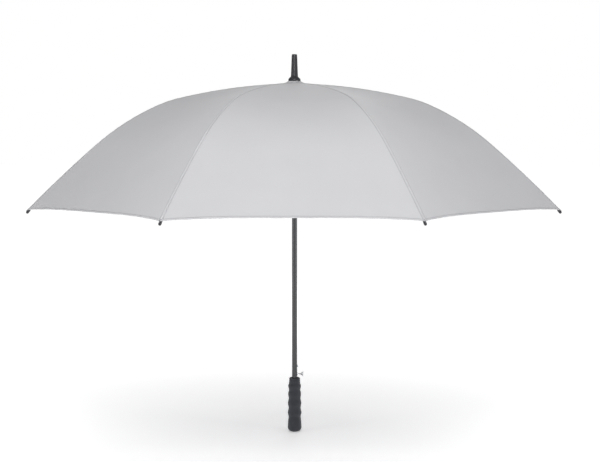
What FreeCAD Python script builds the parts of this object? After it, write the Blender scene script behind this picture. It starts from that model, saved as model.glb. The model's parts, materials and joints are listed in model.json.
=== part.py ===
"""Golf umbrella, standing open: eight jointed ribs, a runner with its drive spring, and a catch by the grip.

Millimetres. +Z runs up the shaft, the origin is the middle of the grip's butt end, and the push button
is on +X. The ribs leave the top notch either side of +X, so that a panel of the canopy is over the button.
"""
import FreeCAD, Part
import math
import os
from types import SimpleNamespace

import Sketcher
from FreeCAD import Placement, Rotation, Vector

SIZES = {
    # the shaft and its ends
    "shaft_diameter": 14.0,
    "shaft_wall": 0.9,
    "shaft_in_ferrule": 16.0,
    "ferrule_length": 56.5,
    "ferrule_base_radius": 9.25,
    "ferrule_end_radius": 6.8,
    "cap_radius": 15.7,
    "cap_height": 11.9,
    "cap_gap": 0.3,  # over the cloth
    "cap_neck_radius": 9.9,
    # the two hubs that the ribs and stretchers hang from
    "notch_pivot": 908.5,  # height of the wire that the ribs turn on
    "pivot_out": 4.0,  # from the shaft's surface to the ribs' pivots
    "hub_out": 3.2,  # from the pivots to a hub's rim
    "hub_below": 5.0,
    "notch_above": 8.5,
    "runner_above": 6.0,
    "wire_radius": 0.6,
    "wire_room": 0.07,
    "eye_radius": 2.4,
    "eye_thickness": 1.9,
    "eye_room": 0.12,  # round the wire in an eye
    "slot_width": 2.6,
    "slot_room": 0.4,  # behind an eye
    # a rib, from the notch to its tip
    "rib_radius": 2.2,
    "neck_length": 7.5,
    "root_slope": 3.0,  # degrees below level, as all the angles here
    "inner_length": 311.5,
    "inner_bend": 12.0,
    "joint_reach": 6.0,
    "knee_angle": 7.0,
    "bend_length": 201.0,
    "bend_angle": 19.0,
    "outer_length": 220.0,
    "outer_bend": 4.3,
    "tip_thickness": 1.0,
    "tip_length": 8.0,
    # the bracket at a rib's knee
    "bracket_half_width": 2.7,
    "bracket_sleeve": 19.0,
    "bracket_thickness": 0.9,
    "knee_radius": 3.0,
    "lug_setback": 10.0,
    "lug_drop": 12.0,
    "rivet_radius": 0.9,
    "rivet_room": 0.05,
    # stretchers and runner
    "stretcher_radius": 2.0,
    "sleeve_thickness": 3.2,
    "sleeve_reach": 8.1,  # below the catch's tooth when folded
    "sleeve_wall": 4.0,  # of full hub under the slots
    "sleeve_room": 0.08,
    "fold_left": 2.5,  # how far from plumb the folded links stop
    "stop_height": 6.0,
    "stop_thickness": 2.4,
    # the drive that opens it
    "drive_pin_radius": 1.5,
    "drive_pin_drop": 14.0,
    "drive_slot_width": 3.8,
    "plunger_length": 14.0,
    "plunger_room": 0.35,
    "seat_above": 42.7,  # the grip
    "seat_length": 4.0,
    "drive_wire_radius": 0.6,
    "drive_coil_radius": 4.9,
    "drive_turns": 44.0,
    # the catch and its button
    "lever_below": 17.3,  # the top of the grip, to the lever's pin
    "lever_back": 0.6,
    "lever_front": 2.4,
    "lever_pin_radius": 1.0,
    "lever_thickness": 3.0,
    "button_above": 10.3,  # the grip
    "button_gap": 0.3,  # to the lever
    "button_stem_radius": 1.5,
    "button_head_radius": 7.9,
    "button_reach": 23.0,
    "button_guide_radius": 3.0,
    "tooth_above": 28.7,  # the grip
    "tooth_length": 7.0,
    "tooth_reach": 9.4,
    "catch_coil_radius": 1.8,
    "catch_wire_radius": 0.25,
    # the grip
    "grip_length": 143.3,
    "grip_butt": 5.0,
    "core_thickness": 3.0,
    "core_below": 2.3,  # the top of the grip
    "collar_radius": 14.4,
    "collar_length": 11.5,
    "butt_radius": 18.4,
    "butt_rounding": 10.0,
    # the canopy
    "cloth": 0.8,
    "cloth_room": 1.3,
    "cloth_hole_room": 1.3,  # round the shaft
    "crown_radius": 16.5,
    "crown_above": 9.5,  # the pivots of the ribs
    "crown_spread": 12.0,  # along a rib, to where the cloth comes down on it
    "hem_setback": 5.0,
    "hem_rise": 11.0,
    # sizes that follow from the ones above
    "pivot_radius": "=shaft_diameter / 2 + pivot_out",
    "hub_radius": "=pivot_radius + hub_out",
    "sleeve_radius": "=shaft_diameter / 2 + sleeve_thickness",
    "stop_radius": "=shaft_diameter / 2 + stop_thickness",
    "core_radius": "=shaft_diameter / 2 + core_thickness",
    "cloth_hole_radius": "=shaft_diameter / 2 + cloth_hole_room",
    "tip_radius": "=rib_radius + tip_thickness",
    "bracket_sleeve_radius": "=rib_radius + bracket_thickness",
    "crown_height": "=notch_pivot + crown_above",
    "ferrule_base": "=crown_height + cloth + cap_gap + cap_height",
    "shaft_head": "=ferrule_base + shaft_in_ferrule",
    "shaft_foot": "=grip_butt",
    "lever_pivot": "=grip_length - lever_below",
    "button_height": "=grip_length + button_above",
    "tooth_height": "=grip_length + tooth_above",
    "seat_height": "=grip_length + seat_above",
    "core_length": "=grip_length - grip_butt - core_below",
}
# the grip's finger ridges and the hollows under them: (share of the grip's length down from its top, radius)
RIDGES = ((0.151, 17.05), (0.301, 17.2), (0.474, 17.95), (0.655, 18.3))
HOLLOWS = ((0.225, 15.2), (0.386, 15.9), (0.565, 16.05), (0.733, 16.2))
RIB_COUNT = 8

doc = FreeCAD.newDocument("umbrella")
sheet = doc.addObject("Spreadsheet::Sheet", "dims")
for row, (alias, value) in enumerate(SIZES.items(), start=1):
    sheet.set(f"A{row}", alias)
    sheet.set(f"B{row}", str(value))
    sheet.setAlias(f"B{row}", alias)
doc.recompute()
n = SimpleNamespace(**{alias: float(sheet.get(alias)) for alias in SIZES})
X_AXIS, Y_AXIS, Z_AXIS = Vector(1, 0, 0), Vector(0, 1, 0), Vector(0, 0, 1)
finished = []


# Small makers. A formula is text that the sheet's cells are written into; a place is a number.

def formula(text):
    """Every size's name in the text, written as the sheet's cell."""
    words = "".join(c if c.isalnum() or c == "_" else " " for c in text).split()
    for word in sorted(set(words) & set(SIZES), key=len, reverse=True):
        text = text.replace(word, f"<{list(SIZES).index(word)}>")
    for number, word in enumerate(SIZES):
        text = text.replace(f"<{number}>", f"dims.{word}")
    return text


def along(axis):
    """The turn that points a primitive's own Z along an axis."""
    return Rotation(Z_AXIS, axis)


def primitive(kind, name, place=None, **sizes):
    """A Part primitive whose sizes follow the sheet."""
    made = doc.addObject(f"Part::{kind}", name)
    for size, text in sizes.items():
        made.setExpression(size, formula(text))
    made.Placement = place or Placement()
    return made


def rod(name, radius, length, start=Vector(), axis=Z_AXIS):
    return primitive("Cylinder", name, Placement(start, along(axis)), Radius=radius, Height=length)


def block(name, length, width, height, corner):
    return primitive("Box", name, Placement(corner, Rotation()), Length=length, Width=width, Height=height)


def bent_rod(name, radius, length, bend, place):
    """A rod that starts along +X and bends down by an angle over its length: a sector of a ring."""
    ring = primitive("Torus", name, Radius1=f"{length} / ({bend} * pi / 180)", Radius2=radius, Angle3=bend)
    doc.recompute()
    middle = Placement(Vector(0, 0, -ring.Radius1.Value), Rotation(Vector(1, 1, 1), -120))
    ring.Placement = place.multiply(middle)
    return ring


def fused(name, *pieces):
    made = doc.addObject("Part::MultiFuse", name)
    made.Shapes = list(pieces)
    return made


def cut(name, base, *tools):
    made = doc.addObject("Part::Cut", name)
    made.Base = base
    made.Tool = tools[0] if len(tools) == 1 else fused(f"{name}_tools", *tools)
    return made


def keep(piece, label, place=None):
    """Take a finished shape into the hand-in under its own label, at its own place."""
    made = doc.addObject("Part::Compound", label)
    made.Links = [piece]
    made.Label = label
    made.Placement = place or Placement()
    finished.append(made)
    return made


def keep_round(piece, label, places):
    for number, place in enumerate(places, start=1):
        keep(piece, f"{label}_{number}", place)


def turned(label, outline, height=0.0, kept=True):
    """A body turned about +Z from a closed outline of (radius, height) formulas."""
    body = doc.addObject("PartDesign::Body", label)
    body.Label = label
    sketch = body.newObject("Sketcher::SketchObject", f"{label}_outline")
    plane = next(f for f in body.Origin.OriginFeatures if f.Role == "XZ_Plane")
    sketch.AttachmentSupport = [(plane, "")]
    sketch.MapMode = "FlatFace"
    texts = [(formula(r), formula(z)) for r, z in outline]
    corners = [Vector(sheet.evalExpression(r), sheet.evalExpression(z), 0) for r, z in texts]
    count = len(corners)
    for i, corner in enumerate(corners):
        sketch.addGeometry(Part.LineSegment(corner, corners[(i + 1) % count]))
    for i in range(count):
        sketch.addConstraint(Sketcher.Constraint("Coincident", i, 2, (i + 1) % count, 1))
    for i, (radius, level) in enumerate(texts):
        for kind, value, text in (("DistanceX", corners[i].x, radius), ("DistanceY", corners[i].y, level)):
            number = sketch.addConstraint(Sketcher.Constraint(kind, -1, 1, i, 1, value))
            sketch.setExpression(f"Constraints[{number}]", text)
    turn = body.newObject("PartDesign::Revolution", f"{label}_turn")
    turn.Profile = sketch
    turn.ReferenceAxis = (sketch, ["V_Axis"])
    turn.Angle = 360
    body.Placement = Placement(Vector(0, 0, height), Rotation())
    if kept:
        finished.append(body)
    return body


# The linkage. Everything is worked out in one rib's plane, as (distance from the shaft, height).

def frame(x, z, slope):
    """A frame in the rib's plane whose +X points outwards and down at a slope in degrees."""
    return Placement(Vector(x, 0, z), Rotation(Y_AXIS, slope))


def bent(length, bend):
    """The frame at the end of a rod of this length, bent down by this angle, from its start."""
    radius = length / math.radians(bend)
    turn = math.radians(bend)
    return frame(radius * math.sin(turn), -radius * (1 - math.cos(turn)), bend)


root = frame(n.pivot_radius, n.notch_pivot, n.root_slope)
inner_start = frame(n.neck_length, 0, 0)
knee = root * inner_start * bent(n.inner_length, n.inner_bend) * frame(n.joint_reach, 0, 0)
outer_root = knee * frame(0, 0, n.knee_angle)
outer_start = frame(n.joint_reach, 0, 0)
bend_end = outer_start * bent(n.bend_length, n.bend_angle)
outer_end = bend_end * bent(n.outer_length, n.outer_bend)
tip = outer_root * outer_end

lug = knee.multVec(Vector(-n.lug_setback, 0, -n.lug_drop))
link_length = math.hypot(lug.x - n.pivot_radius, n.notch_pivot - lug.z)
link_slope = math.degrees(math.atan2(n.notch_pivot - lug.z, lug.x - n.pivot_radius))
runner_pivot = n.notch_pivot - 2 * link_length * math.sin(math.radians(link_slope))
fold = 90 - n.fold_left - link_slope
runner_folded = n.notch_pivot - 2 * link_length * math.sin(math.radians(link_slope + fold))
stretcher_root = frame(n.pivot_radius, runner_pivot, -link_slope)

sleeve_length = runner_folded - n.tooth_height + n.sleeve_reach

derived = {"link_length": link_length, "runner_pivot": runner_pivot, "sleeve_length": sleeve_length}
for alias, value in derived.items():
    SIZES[alias] = value
    row = len(SIZES)
    sheet.set(f"A{row}", alias)
    sheet.set(f"B{row}", repr(value))
    sheet.setAlias(f"B{row}", alias)
doc.recompute()

azimuths = [(i + 0.5) * 360 / RIB_COUNT for i in range(RIB_COUNT)]
turns = [Placement(Vector(), Rotation(Z_AXIS, azimuth)) for azimuth in azimuths]


def round_the_shaft(place):
    return [turn * place for turn in turns]


# The two hubs, and the wires through the eyes

def crown_outline(bore, bottom, top):
    """The section of a hub, with the channel in its top that the wire lies in."""
    inner = "pivot_radius - wire_radius - wire_room"
    outer = "pivot_radius + wire_radius + wire_room"
    floor = "0 - wire_radius - wire_room"
    return [
        (bore, bottom), ("hub_radius", bottom), ("hub_radius", top), (outer, top), (outer, floor),
        (inner, floor), (inner, top), (bore, top),
    ]


def keep_copy(piece, name, place):
    made = doc.addObject("Part::Compound", name)
    made.Links = [piece]
    made.Placement = place
    return made


def eye_slots(name, bottom, top):
    """The slots that the eyes swing in, cut right through the rim."""
    depth = "hub_radius - pivot_radius + eye_radius + slot_room + 1"
    corner = Vector(n.pivot_radius - n.eye_radius - n.slot_room, -n.slot_width / 2, -bottom)
    slot = block(f"{name}_slot", depth, "slot_width", top, corner)
    copies = doc.addObject("Part::Compound", f"{name}_slots")
    copies.Links = [keep_copy(slot, f"{name}_slot_{i}", turn) for i, turn in enumerate(turns)]
    return copies


def top_notch():
    rim = crown_outline("shaft_diameter / 2", "0 - hub_below", "notch_above")
    hub = turned("notch_blank", rim, kept=False)
    slots = eye_slots("notch", n.hub_below + 1, "hub_below + notch_above + 2")
    keep(cut("notch_cut", hub, slots), "top_notch", frame(0, n.notch_pivot, 0))


def pivot_wire(label, height):
    wire = primitive("Torus", f"{label}_ring", Radius1="pivot_radius", Radius2="wire_radius")
    keep(wire, label, frame(0, height, 0))


def runner():
    bore = "shaft_diameter / 2 + sleeve_room"
    sleeve_end = "0 - sleeve_length"
    rim = crown_outline(bore, "0 - hub_below", "runner_above")
    neck = "0 - hub_below - sleeve_wall"
    outline = [(bore, sleeve_end), ("sleeve_radius", sleeve_end), ("sleeve_radius", neck)] + rim[1:]
    blank = turned("runner_blank", outline, kept=False)
    slots = eye_slots("runner", n.hub_below + n.sleeve_wall + 1, "hub_below + sleeve_wall + runner_above + 2")
    side_room, under_room = 0.7, 0.3
    window_low = n.tooth_height - under_room - runner_folded
    window = block("runner_window", "sleeve_radius", f"lever_thickness + 2 * {side_room}", "tooth_length + 2",
                   Vector(n.shaft_diameter / 2 - 1, -n.lever_thickness / 2 - side_room, window_low))
    pin_hole = rod("runner_pin_hole", "drive_pin_radius", "sleeve_radius",
                   Vector(0, 1, -n.drive_pin_drop), Y_AXIS)
    keep(cut("runner_cut", blank, slots, window, pin_hole), "runner", frame(0, runner_pivot, 0))


def runner_stop():
    turned("runner_stop", [
        ("shaft_diameter / 2", "0"), ("stop_radius", "0"), ("stop_radius", "stop_height"),
        ("shaft_diameter / 2", "stop_height"),
    ], runner_pivot + n.runner_above)


# One rib, its knee bracket, its tip and its stretcher, each made once and set round the shaft

def eye(name, x, thickness, hole):
    """A flat eye about an axis along Y, and the hole to cut from it."""
    half = n.eye_thickness / 2
    disc = rod(f"{name}_disc", "eye_radius", thickness, Vector(x, -half, 0), Y_AXIS)
    return disc, rod(f"{name}_hole", hole, f"{thickness} + 2", Vector(x, -half - 1, 0), Y_AXIS)


def neck(name, length, start):
    """The flat part between an eye and its rod."""
    corner = Vector(start, -n.eye_thickness / 2, -n.eye_radius * 0.75)
    return block(name, length, "eye_thickness", "eye_radius * 1.5", corner)


def rib_inner():
    disc, hole = eye("root_eye", 0, "eye_thickness", "wire_radius + eye_room")
    flat = neck("root_neck", "neck_length + 1", 0)
    arm = bent_rod("inner_arm", "rib_radius", "inner_length", "inner_bend", inner_start)
    shape = cut("inner_cut", fused("inner_solid", disc, flat, arm), hole)
    keep_round(shape, "rib_inner", round_the_shaft(root))


def rib_outer():
    disc, hole = eye("knee_eye", 0, "eye_thickness", "rivet_radius + rivet_room")
    flat = neck("knee_neck", "joint_reach + 1", 0)
    bow = bent_rod("bow", "rib_radius", "bend_length", "bend_angle", outer_start)
    arm = bent_rod("outer_arm", "rib_radius", "outer_length", "outer_bend", bend_end)
    shape = cut("outer_cut", fused("outer_solid", disc, flat, bow, arm), hole)
    keep_round(shape, "rib_outer", round_the_shaft(outer_root))


def rib_bracket():
    """A sleeve on the inner rib, a fork for the outer rib and a lug for the stretcher, with its rivets."""
    half = n.bracket_half_width
    sleeve_start = -n.joint_reach - n.bracket_sleeve
    sleeve = rod("bracket_sleeve_tube", "bracket_sleeve_radius", "bracket_sleeve + 1",
                 Vector(sleeve_start, 0, 0), X_AXIS)
    fork = block("bracket_fork", "joint_reach + 7", "bracket_half_width * 2", "knee_radius * 2",
                 Vector(-n.joint_reach - 7, -half, -n.knee_radius))
    nose = rod("bracket_nose", "knee_radius", "bracket_half_width * 2", Vector(0, -half, 0), Y_AXIS)
    cheek = block("bracket_lug", "knee_radius * 2", "bracket_half_width * 2", "lug_drop",
                  Vector(-n.lug_setback - n.knee_radius, -half, -n.lug_drop))
    foot = rod("bracket_foot", "knee_radius", "bracket_half_width * 2",
               Vector(-n.lug_setback, -half, -n.lug_drop), Y_AXIS)
    bore_bend = n.inner_bend * n.bracket_sleeve / n.inner_length
    bore_start = frame(-n.joint_reach, 0, 0) * bent(n.bracket_sleeve, bore_bend).inverse()
    bore = bent_rod("bracket_bore", "rib_radius", "bracket_sleeve", "inner_bend * bracket_sleeve / inner_length",
                    bore_start)
    fork_slot = block("fork_slot", "joint_reach + 8", "slot_width", "knee_radius * 2 + 2",
                      Vector(-n.joint_reach + 1, -n.slot_width / 2, -n.knee_radius - 1))
    lug_slot = block("lug_slot", "knee_radius * 2 + 2", "slot_width", "lug_drop",
                     Vector(-n.lug_setback - n.knee_radius - 1, -n.slot_width / 2,
                            -n.lug_drop - n.bracket_sleeve_radius - 1.5))
    solid = fused("bracket_solid", sleeve, fork, nose, cheek, foot)
    shape = cut("bracket_cut", solid, bore, fork_slot, lug_slot)
    rivets = [
        rod(f"bracket_rivet_{i}", "rivet_radius", "bracket_half_width * 2", Vector(x, -half, z), Y_AXIS)
        for i, (x, z) in enumerate(((0, 0), (-n.lug_setback, -n.lug_drop)))
    ]
    keep_round(fused("bracket_whole", shape, *rivets), "rib_bracket", round_the_shaft(knee))


def rib_tip():
    """A round-ended cap pushed on the end of the rib, with the hole that the cloth is sewn to."""
    barrel = rod("tip_barrel", "tip_radius", "tip_length", Vector(-n.tip_length / 2, 0, 0), X_AXIS)
    ball = primitive("Sphere", "tip_ball", frame(n.tip_length / 2, 0, 0), Radius="tip_radius")
    socket = rod("tip_socket", "rib_radius", "tip_length", Vector(-n.tip_length, 0, 0), X_AXIS)
    sew_hole = rod("tip_sew_hole", "0.7", "tip_radius * 4",
                   Vector(n.tip_length / 2, -2 * n.tip_radius, 0), Y_AXIS)
    shape = cut("tip_cut", fused("tip_solid", barrel, ball), socket, sew_hole)
    keep_round(shape, "rib_tip", round_the_shaft(tip))


def stretcher():
    near_disc, near_hole = eye("runner_eye", 0, "eye_thickness", "wire_radius + eye_room")
    far_disc, far_hole = eye("lug_eye", link_length, "eye_thickness", "rivet_radius + rivet_room")
    near_neck = neck("runner_neck", "neck_length + 1", 0)
    far_neck = neck("lug_neck", "neck_length + 1", link_length - n.neck_length - 1)
    bar = rod("stretcher_bar", "stretcher_radius", "link_length - neck_length * 2",
              Vector(n.neck_length, 0, 0), X_AXIS)
    solid = fused("stretcher_solid", near_disc, far_disc, near_neck, far_neck, bar)
    keep_round(cut("stretcher_cut", solid, near_hole, far_hole), "stretcher", round_the_shaft(stretcher_root))


# The shaft, its drive and its catch

def spring(label, wire, radius, turns, length, place):
    """A round wire swept along a helix about +Z, with its ends a wire's radius inside the length."""
    helix = primitive("Helix", f"{label}_line", Radius=radius, Height=length, Pitch=f"({length}) / ({turns})")
    ring = doc.addObject("Part::Circle", f"{label}_section")
    ring.setExpression("Radius", formula(wire))
    doc.recompute()
    start = Vector(helix.Radius.Value, 0, 0)
    lead = math.degrees(math.atan2(helix.Pitch.Value, 2 * math.pi * helix.Radius.Value))
    ring.Placement = Placement(start, Rotation(X_AXIS, lead - 90))
    coil = doc.addObject("Part::Sweep", f"{label}_coil")
    coil.Sections = [ring]
    coil.Spine = (helix, [f"Edge{i + 1}" for i in range(len(helix.Shape.Edges))])
    coil.Solid = True
    coil.Frenet = True
    keep(coil, label, place)


def shaft_tube():
    length = "shaft_head - shaft_foot"
    wall = rod("tube_outside", "shaft_diameter / 2", length, Vector(0, 0, n.shaft_foot))
    bore = rod("tube_bore", "shaft_diameter / 2 - shaft_wall", f"{length} + 2", Vector(0, 0, n.shaft_foot - 1))
    low = runner_folded - n.drive_pin_drop - n.drive_pin_radius - 2
    travel = runner_pivot - runner_folded
    drive_slot = block("drive_slot", "drive_slot_width", "shaft_diameter / 2 + 1",
                       f"{travel} + drive_pin_radius * 2 + 4", Vector(-n.drive_slot_width / 2, 0, low))
    side_room = 0.4
    tooth_slot = block("tooth_slot", "shaft_diameter / 2", f"lever_thickness + 2 * {side_room}",
                       "tooth_length + 4",
                       Vector(n.shaft_diameter / 2 - 3, -n.lever_thickness / 2 - side_room, n.tooth_height - 2))
    button_hole = rod("button_hole", "button_guide_radius", "shaft_diameter",
                      Vector(0, 0, n.button_height), X_AXIS)
    pin_hole = rod("lever_pin_hole", "lever_pin_radius", "shaft_diameter + 2",
                   Vector(0, -n.shaft_diameter / 2 - 1, n.lever_pivot), Y_AXIS)
    keep(cut("tube_cut", wall, bore, drive_slot, tooth_slot, button_hole, pin_hole), "shaft_tube")


def drive():
    pin_height = runner_pivot - n.drive_pin_drop
    plunger_low = pin_height - n.plunger_length / 2
    pin = rod("drive_pin_rod", "drive_pin_radius", "sleeve_radius + 3", Vector(0, -3, pin_height), Y_AXIS)
    keep(pin, "drive_pin")
    plug = rod("plunger_plug", "shaft_diameter / 2 - shaft_wall - plunger_room", "plunger_length",
               Vector(0, 0, plunger_low))
    pin_hole = rod("plunger_hole", "drive_pin_radius", "sleeve_radius + 3", Vector(0, -3, pin_height), Y_AXIS)
    keep(cut("plunger_cut", plug, pin_hole), "drive_plunger")
    seat = rod("seat_disc", "shaft_diameter / 2 - shaft_wall", "seat_length", Vector(0, 0, n.seat_height))
    keep(seat, "spring_seat")
    seat_top = n.seat_height + n.seat_length
    room = n.drive_wire_radius + 0.4
    length = plunger_low - seat_top - 2 * room
    spring("drive_spring", "drive_wire_radius", "drive_coil_radius", "drive_turns", f"{length}",
           frame(0, seat_top + room, 0))


def lever_plate(outline, name):
    """A plate of the lever's thickness, cut to an outline of (x, z) corners and centred on the shaft."""
    half = n.lever_thickness / 2
    corners = [Vector(x, -half, z) for x, z in outline]
    plate = doc.addObject("Part::Feature", name)
    face = Part.Face(Part.makePolygon(corners + corners[:1]))
    plate.Shape = face.extrude(Vector(0, n.lever_thickness, 0))
    return plate


def catch():
    half = n.lever_thickness / 2
    back, front = -n.lever_back, n.lever_front
    tooth_top = n.tooth_height + n.tooth_length
    boss = rod("lever_boss", "lever_pin_radius + 1.5", "lever_thickness",
               Vector(0, -half, n.lever_pivot), Y_AXIS)
    arm = lever_plate([
        (back, n.lever_pivot), (front, n.lever_pivot), (front, tooth_top), (back, tooth_top),
    ], "lever_arm")
    tooth = lever_plate([
        (front - 1, n.tooth_height), (n.tooth_reach, n.tooth_height), (n.tooth_reach, n.tooth_height + 2.5),
        (n.shaft_diameter / 2 + 0.2, tooth_top), (front - 1, tooth_top),
    ], "lever_tooth")
    hole = rod("lever_hole", "lever_pin_radius + rivet_room", "lever_thickness + 2",
               Vector(0, -half - 1, n.lever_pivot), Y_AXIS)
    keep(cut("lever_cut", fused("lever_solid", boss, arm, tooth), hole), "catch_lever")
    pin = rod("lever_pin_rod", "lever_pin_radius", "shaft_diameter - 0.4",
              Vector(0, 0.2 - n.shaft_diameter / 2, n.lever_pivot), Y_AXIS)
    keep(pin, "lever_pin")
    wall = n.shaft_diameter / 2 - n.shaft_wall
    start = -math.sqrt(wall ** 2 - (n.catch_coil_radius + n.catch_wire_radius) ** 2) + n.catch_wire_radius + 0.1
    length = back - n.catch_wire_radius - 0.1 - start
    spring("catch_spring", "catch_wire_radius", "catch_coil_radius", "4", f"{length}",
           Placement(Vector(start, 0, n.tooth_height - 8), Rotation(Y_AXIS, 90)))


def push_button():
    """A turned button whose head flares out from a thin stem, lying along +X, and the collar that guides it."""
    start, reach, head = "lever_front + button_gap", "button_reach", "button_head_radius"
    outline = [
        ("0", start), ("button_stem_radius", start), ("button_stem_radius", f"{reach} - 10"),
        ("button_stem_radius + 0.9", f"{reach} - 6.5"), (f"{head} - 2.6", f"{reach} - 2.8"),
        (head, f"{reach} - 1.6"), (head, f"{reach} - 0.5"), (f"{head} - 0.6", reach), ("0", reach),
    ]
    flat = Placement(Vector(0, 0, n.button_height), Rotation(Y_AXIS, 90))
    turned("push_button", outline).Placement = flat
    bore, wall = "button_stem_radius + rivet_room", "shaft_diameter / 2"
    turned("button_guide", [
        (bore, f"{wall} - 2"), ("button_guide_radius", f"{wall} - 2"), ("button_guide_radius", wall),
        ("button_guide_radius + 1.3", wall), ("button_guide_radius + 1", f"{wall} + 1.2"),
        (bore, f"{wall} + 1.2"),
    ]).Placement = flat


# The ends: cap and ferrule at the top, core and grip at the foot

def top_cap():
    cloth_top = "crown_height + cloth + cap_gap"
    turned("top_cap", [
        ("shaft_diameter / 2", cloth_top), ("cap_radius", cloth_top), ("cap_radius", f"{cloth_top} + 2.2"),
        ("cap_radius - 0.9", f"{cloth_top} + 5.2"), ("cap_radius - 3", f"{cloth_top} + 8.4"),
        ("cap_neck_radius", "ferrule_base"), ("shaft_diameter / 2", "ferrule_base"),
    ])


def ferrule():
    end = "ferrule_base + ferrule_length"
    turned("ferrule", [
        ("shaft_diameter / 2", "ferrule_base"), ("ferrule_base_radius", "ferrule_base"),
        ("ferrule_end_radius", f"{end} - 2"), ("ferrule_end_radius - 0.5", f"{end} - 0.7"),
        ("ferrule_end_radius - 1.6", end), ("0", end), ("0", "shaft_head"),
        ("shaft_diameter / 2", "shaft_head"),
    ])


def handle_core():
    turned("handle_core", [
        ("shaft_diameter / 2", "grip_butt"), ("core_radius", "grip_butt"),
        ("core_radius", "grip_butt + core_length"),
        ("shaft_diameter / 2", "grip_butt + core_length"),
    ])


def handle_grip():
    """Foam with four finger ridges: a smooth line through its crests and hollows, turned about the shaft."""
    top, butt = n.grip_length, n.butt_radius
    line = [Vector(n.collar_radius, 0, top - n.collar_length)]
    for crest, hollow in zip(RIDGES, HOLLOWS):
        line += [Vector(radius, 0, top * (1 - share)) for share, radius in (crest, hollow)]
    line.append(Vector(butt, 0, n.butt_rounding))
    curve = Part.BSplineCurve()
    curve.interpolate(line)
    middle = n.butt_rounding * (1 - math.sqrt(0.5))
    rounding = Part.Arc(line[-1], Vector(butt - middle, 0, middle), Vector(butt - n.butt_rounding, 0, 0))
    corners = [
        Vector(butt - n.butt_rounding, 0, 0), Vector(0, 0, 0), Vector(0, 0, n.grip_butt),
        Vector(n.core_radius, 0, n.grip_butt), Vector(n.core_radius, 0, top),
        Vector(n.collar_radius - 1, 0, top), Vector(n.collar_radius, 0, top - 1), line[0],
    ]
    edges = [curve.toShape(), rounding.toShape()]
    edges += [Part.LineSegment(a, b).toShape() for a, b in zip(corners, corners[1:])]
    grip = doc.addObject("Part::Feature", "handle_grip")
    grip.Shape = Part.Face(Part.Wire(Part.__sortEdges__(edges))).revolve(Vector(), Z_AXIS, 360)
    grip.Label = "handle_grip"
    finished.append(grip)


# The canopy: the cloth's section over a rib, joined straight across to the next, eight times

def rib_line(lift):
    """The cloth's line over a rib, a lift above the rib's middle: corners, and a middle point for each arc."""
    def over(place, slope_share=0.0):
        return place.multVec(Vector(lift * math.tan(math.radians(slope_share)), 0, lift))
    crown_share = n.crown_spread / n.inner_length
    part_way = bent(n.crown_spread, n.inner_bend * crown_share)
    left = 1 - crown_share
    half_inner = bent(n.inner_length * left / 2, n.inner_bend * left / 2)
    stop_length = n.outer_length - n.hem_setback
    stop_bend = n.outer_bend * stop_length / n.outer_length
    start = root * inner_start * part_way
    bow = outer_root * outer_start
    straight = outer_root * bend_end
    return [
        over(start), over(start * half_inner), over(knee, n.knee_angle / 2),
        over(bow * bent(n.bend_length / 2, n.bend_angle / 2)), over(straight),
        over(straight * bent(stop_length / 2, stop_bend / 2)), over(straight * bent(stop_length, stop_bend)),
    ]


def cloth_section():
    """The closed outline of the cloth's thickness in a rib's plane."""
    under = rib_line(n.rib_radius + n.cloth_room)
    above = rib_line(n.rib_radius + n.cloth_room + n.cloth)
    edges = []
    for points, level in ((under, n.crown_height), (above, n.crown_height + n.cloth)):
        hole, brim = Vector(n.cloth_hole_radius, 0, level), Vector(n.crown_radius, 0, level)
        edges += [Part.LineSegment(hole, brim), Part.LineSegment(brim, points[0])]
        edges += [Part.Arc(*points[i:i + 3]) for i in (0, 2, 4)]
    edges.append(Part.LineSegment(under[-1], above[-1]))
    edges.append(Part.LineSegment(Vector(n.cloth_hole_radius, 0, n.crown_height),
                                  Vector(n.cloth_hole_radius, 0, n.crown_height + n.cloth)))
    return Part.Wire(Part.__sortEdges__([edge.toShape() for edge in edges])), above[-1]


def hem_cutter(corner, half_angle):
    """What the hem's hollow curve takes off one panel, from tip to tip."""
    reach = 20  # beyond the cloth on each side of it, and below it
    middle = Vector(corner.x * math.cos(half_angle), 0, corner.z)
    side = Y_AXIS * corner.x * math.sin(half_angle)
    end_slope = math.radians(n.root_slope + n.inner_bend + n.knee_angle + n.bend_angle + n.outer_bend)
    slope = math.atan(math.tan(end_slope) / math.cos(half_angle))
    up = Vector(-math.cos(slope), 0, math.sin(slope))
    out = Vector(math.sin(slope), 0, math.cos(slope))
    left, right, low = middle - side, middle + side, -up * reach
    arc = Part.Arc(left, middle + up * n.hem_rise, right).toShape()
    corners = [right, right + low, left + low, left]
    sides = [Part.LineSegment(a, b).toShape() for a, b in zip(corners, corners[1:])]
    face = Part.Face(Part.Wire([arc] + sides))
    face.translate(-out * reach)
    return face.extrude(out * reach * 2)


def canopy():
    section, hem_corner = cloth_section()
    half_angle = math.pi / RIB_COUNT
    sides = []
    for turn in (-1, 1):
        side = section.copy()
        side.rotate(Vector(), Z_AXIS, math.degrees(turn * half_angle))
        sides.append(side)
    panel = Part.makeLoft(sides, True, True).cut(hem_cutter(hem_corner, half_angle))
    whole = panel
    for i in range(1, RIB_COUNT):
        copy = panel.copy()
        copy.rotate(Vector(), Z_AXIS, i * 360 / RIB_COUNT)
        whole = whole.fuse(copy)
    cloth = doc.addObject("Part::Feature", "canopy")
    cloth.Shape = whole.removeSplitter()
    cloth.Label = "canopy"
    finished.append(cloth)


top_notch()
pivot_wire("notch_wire", n.notch_pivot)
runner()
pivot_wire("runner_wire", runner_pivot)
runner_stop()
rib_inner()
rib_outer()
rib_bracket()
rib_tip()
stretcher()
shaft_tube()
drive()
catch()
push_button()
top_cap()
ferrule()
handle_core()
handle_grip()
canopy()
doc.recompute()

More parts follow.
